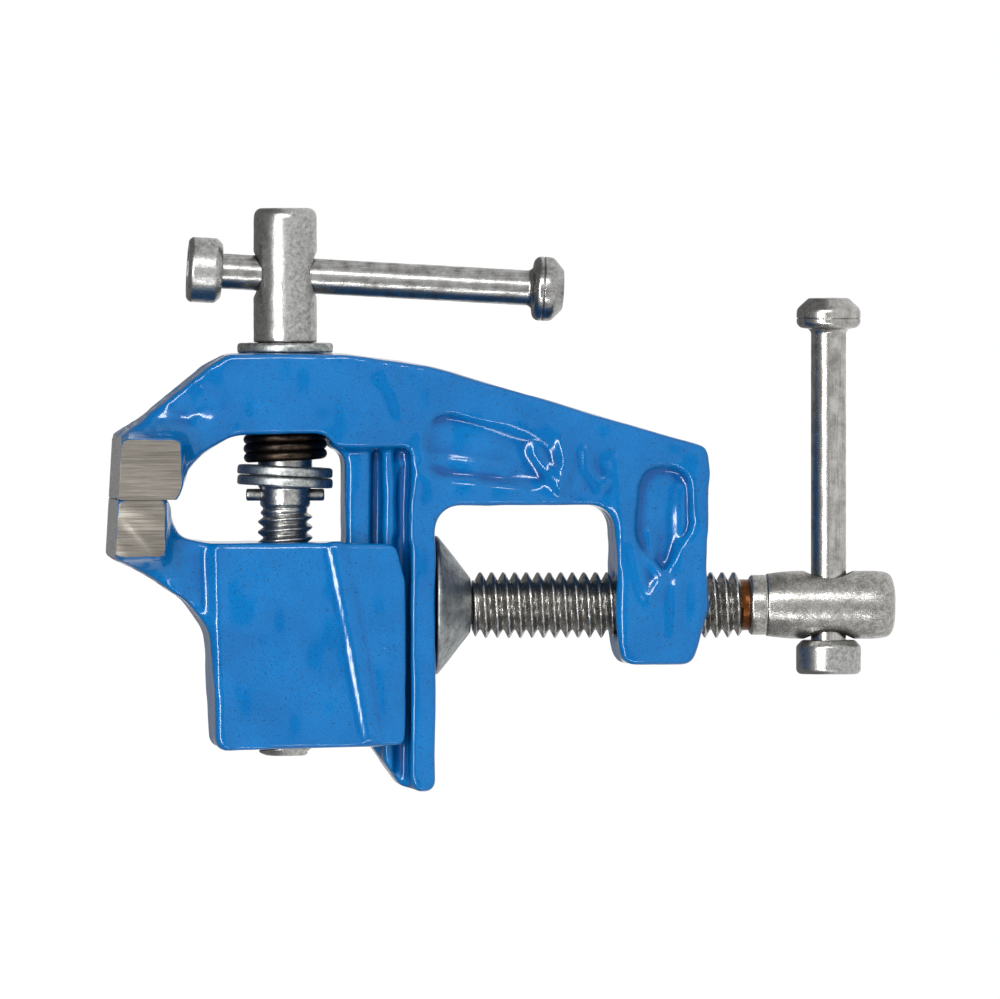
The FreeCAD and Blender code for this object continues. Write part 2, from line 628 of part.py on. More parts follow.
# ---------------------------------------------------------------- the assembly
def main():
    (washer_upper, washer_lower), washer_y = make_inner_washers()
    spindle_bar, spindle_bar_cap = make_spindle_bar()
    clamp_bar, clamp_bar_cap = make_clamp_bar()
    pieces = {
        "frame": make_frame(),
        "moving_jaw": make_moving_jaw(),
        "spindle": make_spindle(),
        "outer_washer": make_outer_washer(),
        "spring": make_spring(washer_y),
        "inner_washer_upper": washer_upper,
        "inner_washer_lower": washer_lower,
        "cross_pin": make_pin(),
        "spindle_bar": spindle_bar,
        "spindle_bar_cap": spindle_bar_cap,
        "clamp_screw": make_clamp_screw(),
        "clamp_pad": make_clamp_pad(),
        "clamp_bar": clamp_bar,
        "clamp_bar_cap": clamp_bar_cap,
    }
    os.makedirs("parts", exist_ok=True)
    for name, shape in pieces.items():
        box = shape.BoundBox
        print(
            f"{name:20s} solids {len(shape.Solids)} valid {shape.isValid()} volume {shape.Volume:9.1f} "
            f"x {box.XMin:6.1f}..{box.XMax:6.1f} y {box.YMin:6.1f}..{box.YMax:6.1f} z {box.ZMin:6.1f}..{box.ZMax:6.1f}"
        )
        shape.exportStep(f"parts/{name}.step")


main()
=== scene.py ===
# %% [markdown]
# # A small clamp-on table vise
# A blue enamelled iron vise with plated steel screws. The design arrives as a fixed frame of separate pieces, and
# this lesson gives each of them the surface of the real thing: thick enamel over rough iron, jaws ground bare,
# rolled threads, drawn rods and plated heads. All lengths are metres, so `MM` turns millimetres into them.

# %% Load the frame
import json
import math

import bmesh
import bpy
import numpy as np
from mathutils import Matrix, Vector


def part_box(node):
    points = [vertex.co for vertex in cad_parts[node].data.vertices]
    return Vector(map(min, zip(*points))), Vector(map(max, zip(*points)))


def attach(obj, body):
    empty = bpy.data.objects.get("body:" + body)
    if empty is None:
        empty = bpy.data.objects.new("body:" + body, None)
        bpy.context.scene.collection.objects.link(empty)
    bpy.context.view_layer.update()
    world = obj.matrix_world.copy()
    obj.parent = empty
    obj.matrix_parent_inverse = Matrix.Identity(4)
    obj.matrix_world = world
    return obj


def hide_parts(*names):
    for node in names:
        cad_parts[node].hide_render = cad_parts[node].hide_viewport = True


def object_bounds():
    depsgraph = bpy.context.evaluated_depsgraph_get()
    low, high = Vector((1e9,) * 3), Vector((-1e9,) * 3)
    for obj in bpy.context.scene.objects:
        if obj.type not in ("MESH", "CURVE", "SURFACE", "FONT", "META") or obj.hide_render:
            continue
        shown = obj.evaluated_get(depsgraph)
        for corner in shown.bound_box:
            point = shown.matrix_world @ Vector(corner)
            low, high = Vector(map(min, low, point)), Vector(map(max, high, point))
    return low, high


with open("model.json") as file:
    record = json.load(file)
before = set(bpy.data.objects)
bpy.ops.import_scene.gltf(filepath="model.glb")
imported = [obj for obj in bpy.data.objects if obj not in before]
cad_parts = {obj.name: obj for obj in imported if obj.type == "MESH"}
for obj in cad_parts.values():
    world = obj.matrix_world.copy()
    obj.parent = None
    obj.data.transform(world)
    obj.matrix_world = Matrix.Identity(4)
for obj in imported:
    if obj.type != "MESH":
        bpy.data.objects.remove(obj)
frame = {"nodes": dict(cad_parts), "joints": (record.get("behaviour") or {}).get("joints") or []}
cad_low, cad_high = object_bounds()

MM = 0.001
NODES = frame["nodes"]
JOINTS = {joint["name"]: joint for joint in frame["joints"]}
print("frame", len(NODES), "nodes, size in mm", [round((b - a) / MM, 1) for a, b in zip(cad_low, cad_high)])

# %% [markdown]
# ## Camera
# The vise is seen from its left side with the camera turned a quarter, so the jaws point to the left. A long lens
# from four metres away keeps the lines nearly parallel, as a catalogue picture does. The camera stands a little
# towards the top of the vise, so the upper faces show as thin strips.

# %% Camera
CAMERA_DISTANCE = 4.0
PICTURE_WIDTH = 0.1818
LOOK_AT = Vector((0.0, -19.2 * MM, -12.4 * MM))
YAW = math.radians(3.6)
PITCH = math.radians(0.8)
SENSOR = 36.0


def make_camera():
    """Looks along +X. Up in the picture is -Y and right in the picture is -Z."""
    away = Vector((-math.cos(YAW) * math.cos(PITCH), -math.sin(PITCH), math.sin(YAW)))
    place = LOOK_AT + away * CAMERA_DISTANCE
    forward = (LOOK_AT - place).normalized()
    up = Vector((0, -1, 0))
    up = (up - forward * up.dot(forward)).normalized()
    right = forward.cross(up)
    data = bpy.data.cameras.new("camera")
    data.sensor_width = SENSOR
    data.lens = SENSOR * CAMERA_DISTANCE / PICTURE_WIDTH
    data.clip_end = 200
    camera = bpy.data.objects.new("camera", data)
    bpy.context.scene.collection.objects.link(camera)
    turn = Matrix((right, up, -forward)).transposed().to_4x4()
    camera.matrix_world = Matrix.Translation(place) @ turn
    return camera


bpy.context.scene.camera = make_camera()
print("camera lens", round(bpy.context.scene.camera.data.lens), "mm")

# %% [markdown]
# ## Helpers for surfaces
# Most pieces are turned or rolled on the real thing, so each one is a grid of two parameters: the angle round an
# axis and the distance along a profile. A grid becomes a mesh in one step. Its end rings have no radius, and
# merging them closes the poles.


# %% Grid surfaces
def link(name, mesh):
    """Puts a mesh into the scene as an object at the origin."""
    piece = bpy.data.objects.new(name, mesh)
    bpy.context.scene.collection.objects.link(piece)
    return piece


def triangles(mesh):
    """Number of triangles that a mesh has once its faces are split."""
    return sum(len(face.vertices) - 2 for face in mesh.polygons)


def grid_piece(name, points, wrap_rows=False):
    """Mesh of quads over points[row, column]. Columns always close on themselves, rows only if wrap_rows."""
    rows, columns, _ = points.shape
    index = np.arange(rows * columns).reshape(rows, columns)
    beside = np.roll(index, -1, axis=1)
    if wrap_rows:
        lower, upper = index, np.roll(index, -1, axis=0)
        lower_beside, upper_beside = beside, np.roll(beside, -1, axis=0)
    else:
        lower, upper = index[:-1], index[1:]
        lower_beside, upper_beside = beside[:-1], beside[1:]
    quads = np.stack([lower, lower_beside, upper_beside, upper], axis=-1).reshape(-1, 4)
    mesh = bpy.data.meshes.new(name)
    mesh.from_pydata(points.reshape(-1, 3).tolist(), [], quads.tolist())
    work = bmesh.new()
    work.from_mesh(mesh)
    bmesh.ops.remove_doubles(work, verts=work.verts, dist=1e-7)
    bmesh.ops.recalc_face_normals(work, faces=work.faces)
    work.to_mesh(mesh)
    work.free()
    return link(name, mesh)


def soft_profile(corners, step=0.35):
    """Profile line through (distance, radius, rounding) corners: straight runs joined by tangent arcs, in mm."""
    points = [np.array(corners[0][:2], float)]
    for before, here, after in zip(corners, corners[1:], corners[2:]):
        corner = np.array(here[:2], float)
        u = np.array(before[:2], float) - corner
        w = np.array(after[:2], float) - corner
        longest = 0.49 * min(np.linalg.norm(u), np.linalg.norm(w))
        u, w = u / np.linalg.norm(u), w / np.linalg.norm(w)
        reach = min(here[2], longest)
        if reach <= 0:
            points.append(corner)
            continue
        for t in np.linspace(0, 1, 6):
            points.append(corner + u * reach * (1 - t) ** 2 + w * reach * t ** 2)
    points.append(np.array(corners[-1][:2], float))
    line = [points[0]]
    for start, end in zip(points, points[1:]):
        pieces = max(1, int(np.linalg.norm(end - start) / step))
        line += [start + (end - start) * k / pieces for k in range(1, pieces + 1)]
    return np.array(line)


def axis_frame(direction):
    """Two unit vectors square to a direction, and the direction itself."""
    along = np.array(direction, float)
    along /= np.linalg.norm(along)
    helper = np.array((1.0, 0, 0)) if abs(along[0]) < 0.9 else np.array((0, 1.0, 0))
    side = np.cross(along, helper)
    side /= np.linalg.norm(side)
    return side, np.cross(along, side), along


def turned_piece(name, line, base, direction, sides=96, radius_change=None, closed=False):
    """Surface of revolution: point = base + s * along + r * (side cos a + other sin a), where (s, r) runs along the
    profile line in mm and a runs round the axis. radius_change(s, a) adds to r. A closed line makes a ring."""
    side, other, along = axis_frame(direction)
    angle = np.linspace(0, 2 * np.pi, sides, endpoint=False)
    s = line[:, 0][:, None] + 0 * angle[None, :]
    r = line[:, 1][:, None] + 0 * angle[None, :]
    if radius_change is not None:
        r = r + radius_change(s, angle[None, :] + 0 * s) * (r > 1e-6)
    ring = np.cos(angle)[None, :, None] * side + np.sin(angle)[None, :, None] * other
    points = np.array(base) + MM * (s[:, :, None] * along + r[:, :, None] * ring)
    return grid_piece(name, points, wrap_rows=closed)


def value_noise(points, cell, seed):
    """Smooth random field between -1 and 1: random numbers on a cubic lattice, blended by 3t^2 - 2t^3."""
    size = 32
    table = np.random.default_rng(seed).random((size, size, size)) * 2 - 1
    scaled = points / cell
    base = np.floor(scaled).astype(int)
    t = scaled - base
    t = t * t * (3 - 2 * t)
    total = np.zeros(len(points))
    for corner in range(8):
        offset = np.array([corner & 1, corner >> 1 & 1, corner >> 2 & 1])
        weight = np.prod(np.where(offset, t, 1 - t), axis=1)
        i, j, k = ((base + offset) % size).T
        total += weight * table[i, j, k]
    return total


def read_points(mesh):
    """Vertex places of a mesh as an array."""
    flat = np.zeros(len(mesh.vertices) * 3, np.float32)
    mesh.vertices.foreach_get("co", flat)
    return flat.reshape(-1, 3).astype(float)


def write_points(mesh, points):
    mesh.vertices.foreach_set("co", points.astype(np.float32).ravel())
    mesh.update()


def read_normals(mesh):
    """Vertex normals of a mesh as an array."""
    flat = np.zeros(len(mesh.vertices) * 3, np.float32)
    mesh.vertex_normals.foreach_get("vector", flat)
    return flat.reshape(-1, 3).astype(float)


def smooth_shaded(piece, angle=40):
    """Smooth shading that keeps edges sharper than the angle."""
    piece.data.polygons.foreach_set("use_smooth", np.ones(len(piece.data.polygons), bool))
    piece.data.set_sharp_from_angle(angle=math.radians(angle))
    piece.data.update()


def baked(piece):
    """Applies the live modifiers of a piece to its mesh."""
    depsgraph = bpy.context.evaluated_depsgraph_get()
    mesh = bpy.data.meshes.new_from_object(piece.evaluated_get(depsgraph))
    piece.modifiers.clear()
    piece.data = mesh
    return piece


def cut_away(piece, cutter):
    """Machines a piece: takes the cutter's volume out of it and removes the cutter."""
    modifier = piece.modifiers.new("cut", "BOOLEAN")
    modifier.operation = "DIFFERENCE"
    modifier.solver = "MANIFOLD"
    modifier.object = cutter
    baked(piece)
    bpy.data.objects.remove(cutter)
    return piece


def block_cutter(low, high):
    """Closed box between two corners, in metres, used only to cut."""
    work = bmesh.new()
    bmesh.ops.create_cube(work, size=1.0)
    low, high = np.array(low), np.array(high)
    for vertex in work.verts:
        vertex.co = Vector(low + (np.array(vertex.co) + 0.5) * (high - low))
    mesh = bpy.data.meshes.new("cutter")
    work.to_mesh(mesh)
    work.free()
    return link("cutter", mesh)


print("helpers ready")

# %% [markdown]
# ## Finishes
# Every finish is worked out from Object coordinates, which are the same as places on the vise, so one scale holds
# for all pieces. A finish starts from three helpers: a noise, a ramp between two values and a mix of two colours.


# %% Node helpers
def srgb(red, green, blue):
    """Screen colour from 0 to 255 as linear light with alpha."""
    def linear(value):
        value /= 255
        return value / 12.92 if value <= 0.04045 else ((value + 0.055) / 1.055) ** 2.4
    return (linear(red), linear(green), linear(blue), 1.0)


class Finish:
    """A material with a Principled shader, and short names for the nodes that feed it."""

    def __init__(self, name):
        self.material = bpy.data.materials.new(name)
        self.material.use_nodes = True
        self.tree = self.material.node_tree
        self.shader = self.tree.nodes["Principled BSDF"]
        self.place = self.node("ShaderNodeTexCoord").outputs["Object"]

    def node(self, kind, **settings):
        made = self.tree.nodes.new(kind)
        for key, value in settings.items():
            setattr(made, key, value)
        return made

    def join(self, output, socket):
        self.tree.links.new(output, socket)

    def feed(self, socket, value):
        if isinstance(value, bpy.types.NodeSocket):
            self.join(value, socket)
        else:
            socket.default_value = value

    def stretched(self, scale):
        """Object coordinates in millimetres, scaled along each axis."""
        mapping = self.node("ShaderNodeMapping")
        self.join(self.place, mapping.inputs["Vector"])
        mapping.inputs["Scale"].default_value = [1000 * s for s in scale]
        return mapping.outputs["Vector"]

    def noise(self, size, detail=3.0, roughness=0.55, stretch=(1, 1, 1)):
        """Cloudy noise whose blobs are about size millimetres across."""
        made = self.node("ShaderNodeTexNoise")
        self.join(self.stretched([s / size for s in stretch]), made.inputs["Vector"])
        made.inputs["Scale"].default_value = 1.0
        made.inputs["Detail"].default_value = detail
        made.inputs["Roughness"].default_value = roughness
        return made.outputs["Fac"]

    def spots(self, size):
        """Distance to the nearest of many scattered points, about size millimetres apart."""
        made = self.node("ShaderNodeTexVoronoi")
        self.join(self.stretched([1 / size] * 3), made.inputs["Vector"])
        made.inputs["Scale"].default_value = 1.0
        return made.outputs["Distance"]

    def ramp(self, value, low, high, start=0.0, end=1.0):
        """Straight run from start to end while value goes from low to high, held beyond."""
        made = self.node("ShaderNodeMapRange", clamp=True)
        self.feed(made.inputs["Value"], value)
        for key, number in (("From Min", low), ("From Max", high), ("To Min", start), ("To Max", end)):
            made.inputs[key].default_value = number
        return made.outputs["Result"]

    def math(self, operation, first, second=0.0):
        made = self.node("ShaderNodeMath", operation=operation)
        self.feed(made.inputs[0], first)
        self.feed(made.inputs[1], second)
        return made.outputs[0]

    def mix(self, share, first, second):
        """Colour that goes from first to second as share goes from 0 to 1."""
        made = self.node("ShaderNodeMix", data_type="RGBA")
        self.feed(made.inputs["Factor"], share)
        self.feed(made.inputs[6], first)
        self.feed(made.inputs[7], second)
        return made.outputs[2]

    def attribute(self, name):
        return self.node("ShaderNodeAttribute", attribute_name=name).outputs["Fac"]

    def axis(self, index):
        parts = self.node("ShaderNodeSeparateXYZ")
        self.join(self.place, parts.inputs[0])
        return parts.outputs[index]

    def bump(self, height, strength, distance):
        """Fine relief that is too small for the mesh, distance in millimetres."""
        made = self.node("ShaderNodeBump")
        made.inputs["Strength"].default_value = strength
        made.inputs["Distance"].default_value = distance * MM
        self.feed(made.inputs["Height"], height)
        self.join(made.outputs["Normal"], self.shader.inputs["Normal"])

    def set(self, **values):
        for key, value in values.items():
            self.feed(self.shader.inputs[key.replace("_", " ")], value)


# %% [markdown]
# ### Blue enamel
# The castings were dipped in thick glossy enamel. It is painted darker in the hollows as painted shade, and it runs
# thin over the edges, where the iron shows grey and brown. Tiny dark specks lie all over it. The mesh carries two
# attributes for this: `hollow` is above a half in hollows and below it on edges and sets the painted shade, and
# `bare` is where the paint has been knocked off.


# %% Blue enamel
def blue_enamel():
    f = Finish("blue_enamel")
    cloud = f.noise(9, detail=4)
    blue = f.mix(f.ramp(cloud, 0.35, 0.65), srgb(0, 84, 142), srgb(0, 92, 151))
    # Painted shade: the blue is darkened towards srgb(0, 54, 112) wherever the surface is hollow.
    hollow_shade = f.ramp(f.attribute("hollow"), 0.52, 0.62)
    blue = f.mix(f.math("MULTIPLY", hollow_shade, 0.75), blue, srgb(0, 54, 112))
    grains = f.ramp(f.noise(0.28, detail=2, roughness=0.8), 0.54, 0.66, 0.0, 0.65)
    blue = f.mix(grains, blue, srgb(0, 48, 92))
    specks = f.ramp(f.spots(1.5), 0.06, 0.12, 0.9, 0.0)
    blue = f.mix(specks, blue, srgb(30, 34, 44))
    wear = f.ramp(f.math("ADD", f.attribute("bare"), f.math("MULTIPLY", f.noise(0.9, detail=5, roughness=0.7), 0.5)),
                  0.80, 0.88)
    scuffs = f.ramp(f.noise(2.6, detail=8, roughness=0.72), 0.685, 0.73, 0.0, 0.8)
    worn = f.math("MAXIMUM", wear, scuffs)
    iron = f.mix(f.noise(0.7), srgb(70, 62, 54), srgb(142, 132, 122))
    f.set(Base_Color=f.mix(worn, blue, iron), Metallic=f.math("MULTIPLY", worn, 0.3),
          Roughness=f.ramp(worn, 0.0, 1.0, 0.14, 0.6))
    f.shader.inputs["Coat Weight"].default_value = 0.15
    f.shader.inputs["Coat Roughness"].default_value = 0.05
    f.shader.inputs["Specular IOR Level"].default_value = 0.22
    relief = f.math("SUBTRACT", f.noise(1.6, detail=2), f.math("MULTIPLY", worn, 0.5))
    f.bump(relief, 0.4, 0.08)
    return f.material


# %% [markdown]
# ### Ground iron
# The jaws were ground after painting. The sides carry coarse marks that run along the height of the vise, in
# browns and greys, and the narrow tops are finer, and painted lighter as a painted reflection of the bright
# surroundings.


# %% Ground iron
def ground_iron():
    f = Finish("ground_iron")
    marks = f.noise(0.30, detail=6, roughness=0.75, stretch=(1, 1, 0.03))
    bands = f.noise(1.3, detail=3, stretch=(1, 1, 0.05))
    colour = f.mix(f.ramp(marks, 0.3, 0.7), srgb(76, 72, 67), srgb(138, 133, 125))
    colour = f.mix(f.ramp(bands, 0.4, 0.7, 0.0, 0.55), colour, srgb(72, 68, 62))
    pits = f.ramp(f.noise(0.45, detail=3, roughness=0.8), 0.68, 0.74, 0.0, 0.8)
    colour = f.mix(pits, colour, srgb(48, 44, 40))
    f.set(Base_Color=colour, Metallic=0.85, Roughness=f.ramp(marks, 0.3, 0.7, 0.5, 0.36))
    f.bump(marks, 0.5, 0.06)
    return f.material


def ground_top_painted_sheen():
    f = Finish("ground_top_painted_sheen")
    marks = f.noise(0.25, detail=4, roughness=0.7, stretch=(0.05, 1, 1))
    # Painted reflection: the tops get a lighter grey than the sides, standing in for the bright surroundings they
    # reflect.
    colour = f.mix(f.ramp(marks, 0.35, 0.65), srgb(150, 150, 150), srgb(196, 196, 196))
    f.set(Base_Color=colour, Metallic=0.8, Roughness=0.42)
    f.bump(marks, 0.4, 0.03)
    return f.material


# %% [markdown]
# ### Plated steel
# The screws' heads are plated over a hammered surface, so their reflections break up into mottles. The rods are
# drawn smooth and show fine lines along their length. The washers and the pad are duller. One function makes all
# of them from a light and a dark tone, a mottle and a direction of lines.


# %% Plated steel
def plated_steel(name, light, dark, rough, mottle, lines=(1, 1, 1), relief=0.03, grime=0.25, metal=1.0):
    f = Finish(name)
    patches = f.noise(mottle, detail=6, roughness=0.68)
    streaks = f.noise(0.35, detail=4, roughness=0.6, stretch=lines)
    share = f.math("ADD", f.math("MULTIPLY", patches, 0.65), f.math("MULTIPLY", streaks, 0.35))
    colour = f.mix(f.ramp(share, 0.38, 0.60), dark, light)
    dirt = f.ramp(f.noise(3.2, detail=7, roughness=0.7), 0.55, 0.75, 0.0, grime)
    colour = f.mix(dirt, colour, srgb(70, 62, 52))
    pits = f.ramp(f.spots(0.9), 0.05, 0.11, 0.6, 0.0)
    colour = f.mix(pits, colour, srgb(50, 46, 42))
    f.set(Base_Color=colour, Metallic=metal, Roughness=f.ramp(share, 0.35, 0.65, rough + 0.14, rough))
    f.bump(f.math("ADD", f.math("MULTIPLY", patches, 0.7), streaks), 0.6, relief)
    return f


# %% [markdown]
# ### Rust at the run-out
# On the clamp screw the groove behind the thread has rusted. The finish is the same plated steel, with a rusty
# band between two heights along the screw.


# %% Materials for each piece
def clamp_screw_steel():
    f = plated_steel("clamp_screw_steel", srgb(178, 177, 174), srgb(120, 118, 114), 0.22, 1.4, (1, 1, 1), 0.05)
    low, high = RUNOUT_LOW * MM, RUNOUT_HIGH * MM
    height = f.axis(2)
    inside = f.math("MULTIPLY", f.ramp(height, low - 0.0002, low, 0, 1), f.ramp(height, high, high + 0.0002, 1, 0))
    old = f.shader.inputs["Base Color"].links[0].from_socket
    rust = f.mix(f.noise(0.8, detail=5), srgb(52, 30, 18), srgb(112, 66, 34))
    f.set(Base_Color=f.mix(inside, old, rust))
    return f.material


RUNOUT_LOW = -57.6
RUNOUT_HIGH = -56.1
ENAMEL = blue_enamel()
GROUND = ground_iron()
GROUND_TOP_PAINTED_SHEEN = ground_top_painted_sheen()
SPINDLE_STEEL = plated_steel(
    "spindle_steel", srgb(184, 184, 182), srgb(126, 125, 123), 0.24, 0.8, relief=0.06).material
CLAMP_STEEL = clamp_screw_steel()
# The two bars are the same drawn steel. The level bar is painted lighter and the upright bar darker, as painted light
# for how each bar is lit.
ROD_STEEL_Z_PAINTED_DARKER = plated_steel(
    "rod_steel_upright_painted_darker", srgb(170, 170, 168), srgb(108, 106, 104), 0.20, 2.4, (1, 1, 0.04)).material
ROD_STEEL_Y_PAINTED_LIGHTER = plated_steel(
    "rod_steel_level_painted_lighter", srgb(188, 187, 184), srgb(128, 126, 122), 0.20, 2.4, (1, 0.04, 1)).material
DULL_ZINC = plated_steel("dull_zinc", srgb(182, 186, 184), srgb(112, 116, 116), 0.34, 0.9, relief=0.05).material
PAD_ZINC = plated_steel("pad_zinc", srgb(156, 160, 160), srgb(104, 108, 110), 0.36, 1.8, relief=0.04).material
SPRING_STEEL = plated_steel("spring_steel", srgb(64, 54, 46), srgb(20, 17, 15), 0.30, 1.6, relief=0.05).material
print("materials", len(bpy.data.materials))

# %% [markdown]
# ## The two castings
# A rough casting has no crisp edge: the sand and the enamel round everything. Each casting starts as a merged
# copy of its design, is remade of small even cells, and is relaxed so that its edges round off. Then the enamel's
# waves, ridges and runs are added along the normals. Last it is machined: the jaws are ground flat and the bores
# are drilled, which cuts through the paint as on the real one.


# %% Remade and relaxed copies
def even_copy(node, name, cell):
    """Merged copy of a CAD node, remade of cells of one size."""
    work = bmesh.new()
    work.from_mesh(NODES[node].data)
    bmesh.ops.remove_doubles(work, verts=work.verts, dist=1e-6)
    mesh = bpy.data.meshes.new(name)
    work.to_mesh(mesh)
    work.free()
    piece = link(name, mesh)
    modifier = piece.modifiers.new("cells", "REMESH")
    modifier.mode = "VOXEL"
    modifier.voxel_size = cell * MM
    return baked(piece)


def edge_pairs(mesh):
    flat = np.zeros(len(mesh.edges) * 2, np.int32)
    mesh.edges.foreach_get("vertices", flat)
    return flat.reshape(-1, 2)


def neighbour_mean(points, pairs):
    """Mean place of the neighbours of each vertex."""
    a, b = pairs.T
    ends = np.concatenate([a, b])
    others = np.concatenate([b, a])
    count = np.bincount(ends, minlength=len(points))[:, None]
    total = [np.bincount(ends, weights=points[others, k], minlength=len(points)) for k in range(3)]
    return np.stack(total, axis=1) / np.maximum(count, 1)


def relaxed(points, pairs, rounds, share=0.5):
    """Moves each vertex a share of the way to the mean of its neighbours, several times."""
    for _ in range(rounds):
        points = points + share * (neighbour_mean(points, pairs) - points)
    return points


def fade(value, low, high):
    """0 below low, 1 above high, and a smooth run between."""
    t = np.clip((value - low) / (high - low), 0, 1)
    return t * t * (3 - 2 * t)


def ridge(y, z, path, width):
    """Bell-shaped height along a polyline in the side view: exp(-(distance / width)^2), in mm."""
    nearest = np.full(len(y), 1e9)
    for (y0, z0), (y1, z1) in zip(path, path[1:]):
        length = (y1 - y0) ** 2 + (z1 - z0) ** 2
        t = np.clip(((y - y0) * (y1 - y0) + (z - z0) * (z1 - z0)) / length, 0, 1)
        nearest = np.minimum(nearest, np.hypot(y - y0 - t * (y1 - y0), z - z0 - t * (z1 - z0)))
    return np.exp(-((nearest / width) ** 2))


def add_attribute(mesh, name, values):
    mesh.attributes.new(name, "FLOAT", "POINT").data.foreach_set("value", values.astype(np.float32))


def curvature(points, normals, pairs, rounds=3):
    """How hollow the surface is: the mean of the neighbours measured along the normal, spread over a few rounds."""
    hollow = np.einsum("ij,ij->i", relaxed(points, pairs, 4, 0.6) - points, normals)
    spread = np.stack([hollow] * 3, axis=1)
    return relaxed(spread, pairs, rounds, 0.7)[:, 0] / MM


def finish_casting(piece, height, cut):
    """Adds the enamel's relief, height in mm per vertex, stores the hollow attribute for the painted shade and the
    bare attribute for wear, then machines the piece.
    """
    mesh = piece.data
    pairs = edge_pairs(mesh)
    points = read_points(mesh)
    normals = read_normals(mesh)
    points = points + normals * height[:, None] * MM
    points = relaxed(points, pairs, 2)
    write_points(mesh, points)
    normals = read_normals(mesh)
    bend = curvature(points, normals, pairs)
    # hollow sets the painted shade in the enamel's hollows.
    add_attribute(mesh, "hollow", np.clip(0.5 + bend * 2.2, 0, 1))
    edge = fade(-bend, 0.03, 0.16)
    patchy = value_noise(points, 5 * MM, 7) * 0.5 + 0.5
    add_attribute(mesh, "bare", edge * patchy * 0.75)
    cut(piece)
    return piece


# %% [markdown]
# ### Frame casting
# Its relief has slow waves everywhere, a swollen boss round the clamp screw, a soft web from the beam into the
# leg, and runs of thick enamel. Relief stays off the surfaces that work: the rail under the block and the bores.
# Round the jaw the casting swells a little, so grinding leaves the uneven outline where bare iron meets paint.


# %% Frame casting
AXIS_Z = JOINTS["spindle_turn"]["pos_m"][2]
JAW_HALF = cad_high[0]
GRIP_Y = -19.45 * MM
JAW_GAP = 0.1 * MM
GRIP_LOW_Z = 0.046
TOP_LEAN = math.tan(math.radians(3.2))
TOP_AT_GRIP = 57.9 * MM
SPINDLE_BORE_R = 5.05
CLAMP_BORE_R = 6.05
RELAX_FRAME = 9
RELAX_POCKET = 28
RELAX_JAW = 7


def grind_top(piece):
    """Flat ground top, leaning a little: takes away everything above a sloping plane."""
    reach = 0.05
    cutter = block_cutter((-reach, -reach, TOP_AT_GRIP), (reach, reach, TOP_AT_GRIP + 0.03))
    mesh = cutter.data
    points = read_points(mesh)
    points[:, 2] += (points[:, 1] - GRIP_Y) * TOP_LEAN
    write_points(mesh, points)
    cut_away(piece, cutter)


def grind_sides(piece):
    for sign in (-1, 1):
        near, far = sorted((sign * JAW_HALF, sign * (JAW_HALF + 0.02)))
        cut_away(piece, block_cutter((near, -0.1, -0.1), (far, 0.1, 0.1)))


def drill(piece, base, direction, radius, length):
    line = np.array([(0, 0), (0, radius), (length, radius), (length, 0)], float)
    cut_away(piece, turned_piece("drill", line, base, direction, sides=64))


def paint_casting(piece, grip_side):
    """Gives each face its finish: 0 enamel, 1 ground sides and grips, 2 ground tops. A face is ground where its
    centre lies on one of the grinding planes."""
    mesh = piece.data
    mesh.materials.clear()
    for material in (ENAMEL, GROUND, GROUND_TOP_PAINTED_SHEEN):
        mesh.materials.append(material)
    flat = np.zeros(len(mesh.polygons) * 3, np.float32)
    mesh.polygons.foreach_get("center", flat)
    centre = flat.reshape(-1, 3)
    index = np.zeros(len(centre), np.int32)
    close = 0.004 * MM
    index[np.abs(np.abs(centre[:, 0]) - JAW_HALF) < close] = 1
    index[(np.abs(centre[:, 1] - grip_side) < close) & (centre[:, 2] > 0.04)] = 1
    top = TOP_AT_GRIP + (centre[:, 1] - GRIP_Y) * TOP_LEAN
    index[np.abs(centre[:, 2] - top) < close] = 2
    mesh.polygons.foreach_set("material_index", index)
    smooth_shaded(piece, 35)
    print(piece.name, triangles(mesh), "triangles,", int((index > 0).sum()), "ground faces")


FRAME_RUNS = [  # runs and folds of thick enamel: path in (y, z), height and width, all in mm
    ([(-26.9, 2.2), (-24.9, -12.4)], 0.45, 0.9),
    ([(-24.5, 3.3), (-23.1, 0.9), (-21.1, -15.3)], 0.40, 0.8),
    ([(-28.0, -18.0), (-23.8, -20.9), (-21.6, -22.5)], 0.75, 1.2),
    ([(-21.6, -22.5), (-26.0, -23.6), (-30.2, -22.7)], 0.45, 0.7),
    ([(-28.2, -27.3), (-24.9, -27.5), (-21.8, -29.8), (-22.7, -30.9)], 0.50, 0.8),
    ([(-11.3, -35.8), (-5.6, -36.9), (-1.6, -38.0)], 0.40, 0.7),
    ([(-13.1, -38.9), (-8.2, -39.3), (-5.3, -41.1), (-1.3, -38.9)], 0.50, 0.8),
    ([(-20.9, -44.7), (-9.8, -44.4)], 0.55, 1.3),
    ([(-3.8, -43.4), (4.7, -43.2)], 0.35, 0.7),
    ([(-13.5, 7.3), (-21.0, 7.5), (-25.3, 6.9), (-26.3, 5.5)], 0.45, 0.8),
    ([(-12.0, 4.4), (-18.0, 4.4), (-22.4, 3.6)], 0.35, 0.7),
    ([(-30.8, 2.6), (-29.0, 2.9)], 0.45, 0.7),
    ([(-41.3, 8.9), (-38.4, 7.3), (-35.0, 6.2)], 0.30, 1.0),
]


